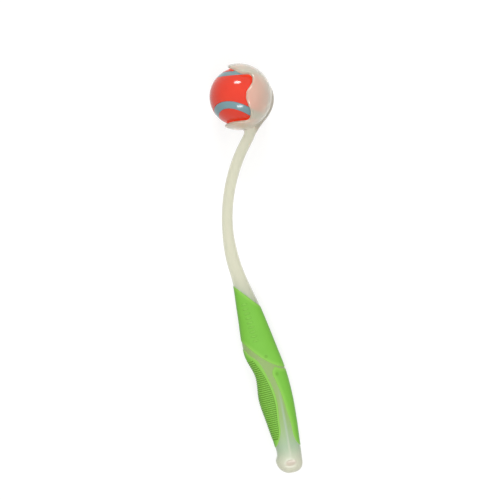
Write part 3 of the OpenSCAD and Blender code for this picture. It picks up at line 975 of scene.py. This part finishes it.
def grip(name, inside, angles, wrap=False):
    """A soft skin inside an outline, let into the handle, with its proud edge rounded over."""
    first, last, _ = stretches(inside, angles)
    out_u = first[:, None] + (last - first)[:, None] * eased(GRIP_ROWS)
    in_u = first[:, None] + (last - first)[:, None] * np.linspace(1, 0, INNER_ROWS)
    column = angles[:, None]
    flat = stick(out_u, column)
    top = stick(first, angles)
    bottom = stick(last, angles)
    edge = [top, bottom] if wrap else [np.concatenate([top, bottom[::-1]])]
    edge = [np.concatenate([line, line[:1]]) for line in edge]
    near = np.min([distance_to(flat.reshape(-1, 3), line) for line in edge], axis=0).reshape(out_u.shape)
    gate_dip = GATE_DEEP * in_gate(out_u, offset_at(out_u, column)) * (np.sin(column) > 0)
    proud = PROUD - rolled(near, EDGE_ROUND) - gate_dip
    rings = np.concatenate([stick(out_u, column, proud), stick(in_u, column, -SINK)], axis=1)
    piece = closed(name, *skin(rings, wrap), grip_rubber)
    points = mesh_points(piece)
    from_edge = np.min([distance_to(points, line) for line in edge], axis=0)
    u, v = handle_place(points)
    finger, palm, depth = reaches(u)
    middle, half = (palm - finger) / 2, (palm + finger) / 2
    size = np.abs((v - middle) / half) ** SQUARENESS + np.abs(points[:, 2] / depth) ** SQUARENESS
    # Painted highlight, paler near the grip's edges
    keep_on(piece, "painted_highlight", np.clip(1 - (from_edge - PROUD) / HIGHLIGHT_FADE, 0, 1))
    # Painted glow on the side bonded to the handle
    keep_on(piece, "bonded", (size < BONDED_BELOW).astype(float))
    # Painted shade darkens the rubber in the gate marks
    keep_on(piece, "painted_shade", GATE_SHADE * in_gate(u, v) * (points[:, 2] > 0))
    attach(piece, "launcher")
    return piece


print("gate marks:", len(GATES))

# %% Sleeve and lower grips
def angles_across(inside, middle):
    """Angles over which an outline is met, closer together towards its two long edges."""
    fine = np.arange(0, 2 * math.pi, math.radians(0.1)) - math.pi + middle
    met = fine[stretches(inside, fine)[2]]
    spread = np.sin(np.linspace(-math.pi / 2, math.pi / 2, GRIP_COLUMNS))
    return (met[0] + met[-1]) / 2 + (met[-1] - met[0]) / 2 * spread


sleeve = grip("upper_sleeve", in_sleeve, full_turn(GRIP_COLUMNS), wrap=True)
finger_pad = grip("finger_pad", in_finger_grip, angles_across(in_finger_grip, math.pi))
palm_pad = grip("palm_pad", in_palm_grip, angles_across(in_palm_grip, 0))
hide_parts("upper_grip_sleeve")
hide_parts("finger_grip")
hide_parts("palm_grip")
for piece in (sleeve, finger_pad, palm_pad):
    print(piece.name, "faces:", len(piece.data.polygons))

# %% [markdown]
# ## Finger ribs
#
# Some forty low ribs cross the finger grip so that it doesn't slip in a wet hand. Each is the same rounded
# bead along its own path round the section, which is what Geometry Nodes do well: the paths go in as plain
# edges, a tree turns them into curves and sweeps one round profile along them, and it tapers their ends.

# %% Rib tree
def new_tree(name, **inputs):
    """An empty geometry tree with a mesh going in, named inputs, and a mesh coming out."""
    tree = bpy.data.node_groups.new(name, "GeometryNodeTree")
    tree.interface.new_socket("Geometry", in_out="INPUT", socket_type="NodeSocketGeometry")
    for label, kind in inputs.items():
        tree.interface.new_socket(label, in_out="INPUT", socket_type=kind)
    tree.interface.new_socket("Geometry", in_out="OUTPUT", socket_type="NodeSocketGeometry")
    return tree


def close_tree(tree, geometry, material):
    """Ends a tree with plain geometry in one material."""
    plain = add(tree, "GeometryNodeRealizeInstances", {"Geometry": geometry})
    smooth = add(tree, "GeometryNodeSetShadeSmooth", {"Geometry": plain.outputs[0]})
    painted = add(tree, "GeometryNodeSetMaterial", {"Geometry": smooth.outputs[0], "Material": material})
    add(tree, "NodeGroupOutput", {"Geometry": painted.outputs[0]})
    return tree


def grown(name, seed, tree, **values):
    """What a tree makes of a seed mesh, as a plain mesh object."""
    holder = show(name + "_seed", seed)
    steps = holder.modifiers.new("grow", "NODES")
    steps.node_group = tree
    for socket in tree.interface.items_tree:
        if socket.in_out == "INPUT" and socket.name in values:
            steps[socket.identifier] = values[socket.name]
    bake_modifiers(holder)
    made = show(name, holder.data)
    bpy.data.objects.remove(holder)
    return made


def swept_bead():
    """Sweeps a round bead along every path of edges, scaled by the taper kept on its points."""
    tree = new_tree("swept_bead", radius="NodeSocketFloat", finish="NodeSocketMaterial")
    start = add(tree, "NodeGroupInput")
    paths = add(tree, "GeometryNodeMeshToCurve", {"Mesh": start.outputs["Geometry"]})
    bead = add(tree, "GeometryNodeCurvePrimitiveCircle", {
        "Resolution": 8, "Radius": start.outputs["radius"]})
    taper = add(tree, "GeometryNodeInputNamedAttribute", {"Name": "taper"}, data_type="FLOAT")
    swept = add(tree, "GeometryNodeCurveToMesh", {
        "Curve": paths.outputs[0], "Profile Curve": bead.outputs["Curve"],
        "Scale": taper.outputs["Attribute"], "Fill Caps": True})
    return close_tree(tree, swept.outputs[0], start.outputs["finish"])


bead_tree = swept_bead()
print("rib tree nodes:", len(bead_tree.nodes))

# %% Ribs round the finger side
RIB_PITCH = 2.3
RIB_R = 0.65
RIB_PROUD = 0.55
RIB_FROM = SLEEVE_END - 3.0
RIB_TO = GRIP_END - 12.0
RIB_POINTS = 60
RIB_HIGHLIGHT = 0.6
RIB_TAPER = (0.45, 0.85, 1)
RIB_MARGIN = np.array([[105.0, 4.1], [120.0, 2.8], [160.0, 2.2], [190.0, 1.8]])


def in_ribs(u, v):
    """Where the finger grip is ribbed: all of it but a plain margin along its inner edge."""
    margin = np.interp(u, *RIB_MARGIN.T)
    return (v < edge_offset(FINGER_EDGE, u) - margin) & below_sleeve(u - RIB_PITCH, v)


rib_spots, rib_edges, rib_taper = [], [], []
fine_angles = np.linspace(math.pi / 2, 3 * math.pi / 2, 2000)
for rib_u in np.arange(RIB_FROM, RIB_TO, RIB_PITCH)[:, None]:
    held = fine_angles[in_ribs(rib_u, offset_at(rib_u, fine_angles))]
    if len(held) < 2:
        continue
    path = stick(rib_u, np.linspace(held[0], held[-1], RIB_POINTS), PROUD + RIB_PROUD - RIB_R)
    first = len(rib_spots)
    rib_edges += [(first + k, first + k + 1) for k in range(RIB_POINTS - 1)]
    rib_spots += lay(path).tolist()
    ends = np.minimum(np.arange(RIB_POINTS), np.arange(RIB_POINTS)[::-1])
    rib_taper += np.interp(ends, [0, 1, 2], RIB_TAPER).tolist()

rib_paths = bpy.data.meshes.new("rib_paths")
rib_paths.from_pydata(rib_spots, rib_edges, [])
rib_paths.attributes.new("taper", "FLOAT", "POINT").data.foreach_set("value", rib_taper)
ribs = grown("finger_ribs", rib_paths, bead_tree, radius=RIB_R * MM, finish=grip_rubber)
# The ribs are painted a paler green all over, a painted highlight
keep_on(ribs, "painted_highlight", np.full(len(ribs.data.vertices), RIB_HIGHLIGHT))
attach(ribs, "launcher")
# Painted shade darkens the pad between the ribs, where shade falls in the grooves
pad_u, pad_v = handle_place(mesh_points(finger_pad))
painted_shade = in_ribs(pad_u, pad_v) & (pad_u > RIB_FROM) & (pad_u < RIB_TO)
finger_pad.data.attributes["painted_shade"].data.foreach_set("value", painted_shade.astype(float))
print("ribs:", len(rib_spots) // RIB_POINTS)

# %% [markdown]
# ## Pips for the thumb
#
# A row of low oval pips stands on each broad face of the sleeve, under the thumb. They are all the same
# lens, so a tree puts one instance on every point of a seed mesh. Two directions kept on the points turn
# it: out of the rubber and along the handle.

# %% Pip tree
def standing_pips():
    """Stands one oval lens on every point, turned by the directions kept there."""
    tree = new_tree("standing_pips", size="NodeSocketVector", finish="NodeSocketMaterial")
    start = add(tree, "NodeGroupInput")
    ball = add(tree, "GeometryNodeMeshUVSphere", {"Segments": 32, "Rings": 16, "Radius": 1.0})
    lens = add(tree, "GeometryNodeTransform", {
        "Geometry": ball.outputs["Mesh"], "Scale": start.outputs["size"]})
    out = add(tree, "GeometryNodeInputNamedAttribute", {"Name": "out"}, data_type="FLOAT_VECTOR")
    ahead = add(tree, "GeometryNodeInputNamedAttribute", {"Name": "ahead"}, data_type="FLOAT_VECTOR")
    turn = add(tree, "FunctionNodeAxesToRotation", {
        "Primary Axis": out.outputs["Attribute"], "Secondary Axis": ahead.outputs["Attribute"]},
        primary_axis="Z", secondary_axis="X")
    placed = add(tree, "GeometryNodeInstanceOnPoints", {
        "Points": start.outputs["Geometry"], "Instance": lens.outputs[0], "Rotation": turn.outputs[0]})
    return close_tree(tree, placed.outputs[0], start.outputs["finish"])


pip_tree = standing_pips()
print("pip tree nodes:", len(pip_tree.nodes))

# %% Pips on the sleeve
PIP_COUNT = 9
PIP_FROM = 37.0
PIP_TO = 79.0
PIP_ASIDE = -3.6
PIP_HALF = (1.15, 3.1, 0.6)
PIP_SHADE = 0.22
PIP_HIGHLIGHT = 0.3
PIP_FADE = (1, 1.4)
NUDGE = 0.01

pip_u = np.linspace(PIP_FROM, PIP_TO, PIP_COUNT)
finger, palm, _ = reaches(pip_u)
pip_share = (2 * PIP_ASIDE + finger - palm) / (palm + finger)
pip_angle = np.arccos(np.sign(pip_share) * np.abs(pip_share) ** (SQUARENESS / 2))
pip_u = np.concatenate([pip_u, pip_u])
pip_angle = np.concatenate([pip_angle, -pip_angle])
pip_ahead = stick(pip_u + NUDGE, pip_angle) - stick(pip_u - NUDGE, pip_angle)
pip_round = stick(pip_u, pip_angle + NUDGE) - stick(pip_u, pip_angle - NUDGE)
pip_out = np.cross(pip_ahead, pip_round)
pip_out *= np.sign(pip_out[:, 2] * np.sin(pip_angle))[:, None]
pip_seeds = bpy.data.meshes.new("pip_seeds")
pip_seeds.from_pydata(lay(stick(pip_u, pip_angle, PROUD)).tolist(), [], [])
for label, ways in (("out", pip_out), ("ahead", pip_ahead)):
    ways = unit(ways) @ LAID.T
    pip_seeds.attributes.new(label, "FLOAT_VECTOR", "POINT").data.foreach_set("vector", ways.ravel())
pips = grown("sleeve_pips", pip_seeds, pip_tree, size=[half * MM for half in PIP_HALF], finish=grip_rubber)
# The pips are painted a paler green, a painted highlight on them
keep_on(pips, "painted_highlight", np.full(len(pips.data.vertices), PIP_HIGHLIGHT))
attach(pips, "launcher")

# A fine painted shade lies round the foot of each pip
sleeve_u, sleeve_v = handle_place(mesh_points(sleeve))
off_row = (sleeve_v - PIP_ASIDE) / PIP_HALF[1]
off_pip = np.min([np.hypot((sleeve_u - u) / PIP_HALF[0], off_row) for u in pip_u[:PIP_COUNT]], axis=0)
shade = np.empty(len(sleeve_u))
sleeve.data.attributes["painted_shade"].data.foreach_get("value", shade)
shade = np.maximum(shade, PIP_SHADE * np.interp(off_pip, PIP_FADE, [1, 0]))
sleeve.data.attributes["painted_shade"].data.foreach_set("value", shade)
print("pips:", len(pip_u))

# %% [markdown]
# ## The ball's seam
#
# The ball is covered like a tennis ball, by two equal dumbbell shapes with a band between them. The seam of
# such a ball is a known curve on the sphere, made of one turn and three turns of a circle. Points beside it
# at a small angle give the edges of the band and of the two covers.

# %% Seam curve
SEAM_W = 8.5
SEAM_SINK = 0.2
SEAM_WAIST = math.radians(70)
SEAM_HALF = SEAM_W / 2 / BALL_R
COVER_FLOOR = 29.7
BALL_ROLL, BALL_YAW, BALL_SPIN = (math.radians(angle) for angle in (17, 28, 4))
BALL_TURN = Euler((-BALL_ROLL, -BALL_YAW, BALL_SPIN)).to_matrix() @ Matrix.Rotation(math.pi / 4, 3, "Z")

wide = (1 + math.sin(SEAM_WAIST / 2)) / 2
narrow = 1 - wide
tall = 2 * math.sqrt(wide * narrow)


def beside_seam(t, angle):
    """Unit points beside the seam, at an angle from it as seen from the ball's middle."""
    spot = np.stack([wide * np.cos(t) + narrow * np.cos(3 * t),
                     wide * np.sin(t) - narrow * np.sin(3 * t),
                     tall * np.sin(2 * t)], axis=-1)
    run = np.stack([-wide * np.sin(t) - 3 * narrow * np.sin(3 * t),
                    wide * np.cos(t) - 3 * narrow * np.cos(3 * t),
                    2 * tall * np.cos(2 * t)], axis=-1)
    side = np.cross(spot, unit(run))
    angle = np.asarray(angle)[..., None]
    return np.cos(angle) * spot + np.sin(angle) * side


def in_cup(points):
    """Turns the ball as it sits in the cup."""
    return points @ np.array(BALL_TURN).T


print(f"band {SEAM_W} mm wide, {math.degrees(2 * SEAM_HALF):.1f} degrees of the ball")

# %% [markdown]
# ## Ball rubber
#
# The covers are moulded natural rubber in a hot orange, smooth enough to shine softly. The band is a harder
# grey-teal rubber with a satin skin. Inside, the two glued halves are raw buff rubber. Nothing shows of
# them, so they keep the measured solids and only change their finish.

# %% Ball rubbers
ORANGE = "#F33A14"
ORANGE_DEEP = "#E72B06"
TEAL = "#82A6AD"
TEAL_DEEP = "#73989E"
BUFF = "#BF9E7A"
BUFF_DEEP = "#AD8A66"
SHINE_DRIFT = 0.05


def moulded_rubber(name, light, deep_colour, patch_mm, grain_mm, roughness):
    """Moulded rubber: a colour that drifts a little, and a fine pebbled skin."""
    material, tree = blank_material(name)
    patches = noise(tree, patch_mm, 3.0)
    rubber = add(tree, "ShaderNodeBsdfPrincipled", {
        "Base Color": mixed(tree, patches, deep_colour, light),
        "Roughness": ranged(tree, patches, roughness - SHINE_DRIFT, roughness + SHINE_DRIFT),
        "IOR": 1.52,
        "Normal": bumpy(tree, noise(tree, grain_mm, 2.0), 0.06, 0.06),
    })
    add(tree, "ShaderNodeOutputMaterial", {"Surface": rubber.outputs[0]})
    return material


cover_rubber = moulded_rubber(
    "orange_natural_rubber", ORANGE, ORANGE_DEEP, patch_mm=14, grain_mm=0.8, roughness=0.12)
band_rubber = moulded_rubber(
    "grey_teal_hard_rubber", TEAL, TEAL_DEEP, patch_mm=9, grain_mm=0.9, roughness=0.15)
raw_rubber = moulded_rubber(
    "raw_buff_rubber", BUFF, BUFF_DEEP, patch_mm=10, grain_mm=1.4, roughness=0.72)
for half in ("ball_inner_half_upper", "ball_inner_half_lower"):
    frame["nodes"][half].data.materials.clear()
    frame["nodes"][half].data.materials.append(raw_rubber)
print("made", cover_rubber.name, band_rubber.name, raw_rubber.name)

# %% [markdown]
# ## Covers and band
#
# A cover is meshed in columns that cross it from one run of the seam to the other, along great circles, so
# its surface is truly round. Its edge is rolled over beside the band, which leaves the fine groove that
# catches the light along the seam. The band is one closed loop of the same cross section.

# %% Ball covers
COVER_COLUMNS = 160
COVER_ROWS = 60
FLOOR_ROWS = 16
COVER_ROUND = 0.6


def great_circle(p, q, share):
    """Points part of the way from p to q on the unit sphere."""
    angle = np.arccos(np.clip((p * q).sum(axis=-1), -1, 1))[..., None, None]
    angle = np.maximum(angle, 1e-6)
    share = share[None, :, None]
    return (np.sin((1 - share) * angle) * p[:, None] + np.sin(share * angle) * q[:, None]) / np.sin(angle)


def ball_cover(name, node, flip):
    """One dumbbell cover with rolled edges, on the upper or the lower side of the ball."""
    step = np.linspace(0, math.pi, COVER_COLUMNS + 1)
    left = beside_seam(-math.pi / 4 + step, SEAM_HALF)
    right = beside_seam(7 * math.pi / 4 - step, SEAM_HALF)
    share = eased(COVER_ROWS)
    width = np.arccos(np.clip((left * right).sum(axis=-1), -1, 1))[:, None] * BALL_R
    from_edge = np.minimum(share, 1 - share) * width
    height = BALL_R - rolled(from_edge, COVER_ROUND)
    outer = great_circle(left, right, share) * height[..., None]
    inner = great_circle(left, right, np.linspace(1, 0, FLOOR_ROWS)) * COVER_FLOOR
    rings = np.concatenate([outer, inner], axis=1)
    if flip:
        rings = rings * np.array([1, -1, -1])
    piece = closed(name, *skin(in_cup(rings)), cover_rubber)
    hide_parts(node)
    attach(piece, "ball")
    return piece


covers = [
    ball_cover("upper_cover", "ball_cover_upper", False),
    ball_cover("lower_cover", "ball_cover_lower", True),
]
print("cover faces:", [len(piece.data.polygons) for piece in covers])

# %% Seam band
BAND_STEPS = 400
BAND_ROWS = 20
UNDER_ROWS = 6
BAND_ROUND = 0.5

band_t = full_turn(BAND_STEPS)[:, None]
band_share = eased(BAND_ROWS)
band_angle = SEAM_HALF * (2 * band_share - 1)
edge_gap = np.minimum(band_share, 1 - band_share) * SEAM_W
band_high = BALL_R - SEAM_SINK - rolled(edge_gap, BAND_ROUND)
band_outer = beside_seam(band_t + 0 * band_angle, 0 * band_t + band_angle) * band_high[:, None]
floor_angle = SEAM_HALF * np.linspace(1, -1, UNDER_ROWS)
band_inner = beside_seam(band_t + 0 * floor_angle, 0 * band_t + floor_angle) * COVER_FLOOR
band_rings = in_cup(np.concatenate([band_outer, band_inner], axis=1))
band = closed("seam_band", *skin(band_rings, wrap=True), band_rubber)
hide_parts("ball_seam_band")
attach(band, "ball")
print("band faces:", len(band.data.polygons))

# %% [markdown]
# ## Size
#
# The finer meshes must not change the stick's size, so the growth of the box of what is shown over the box
# of the measured solids is printed.

# %% Compare the boxes and finish
shown_low, shown_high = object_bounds()
growth = (shown_high - shown_low) - (cad_high - cad_low)
print("box grew by", [round(part / MM, 2) for part in growth], "mm")
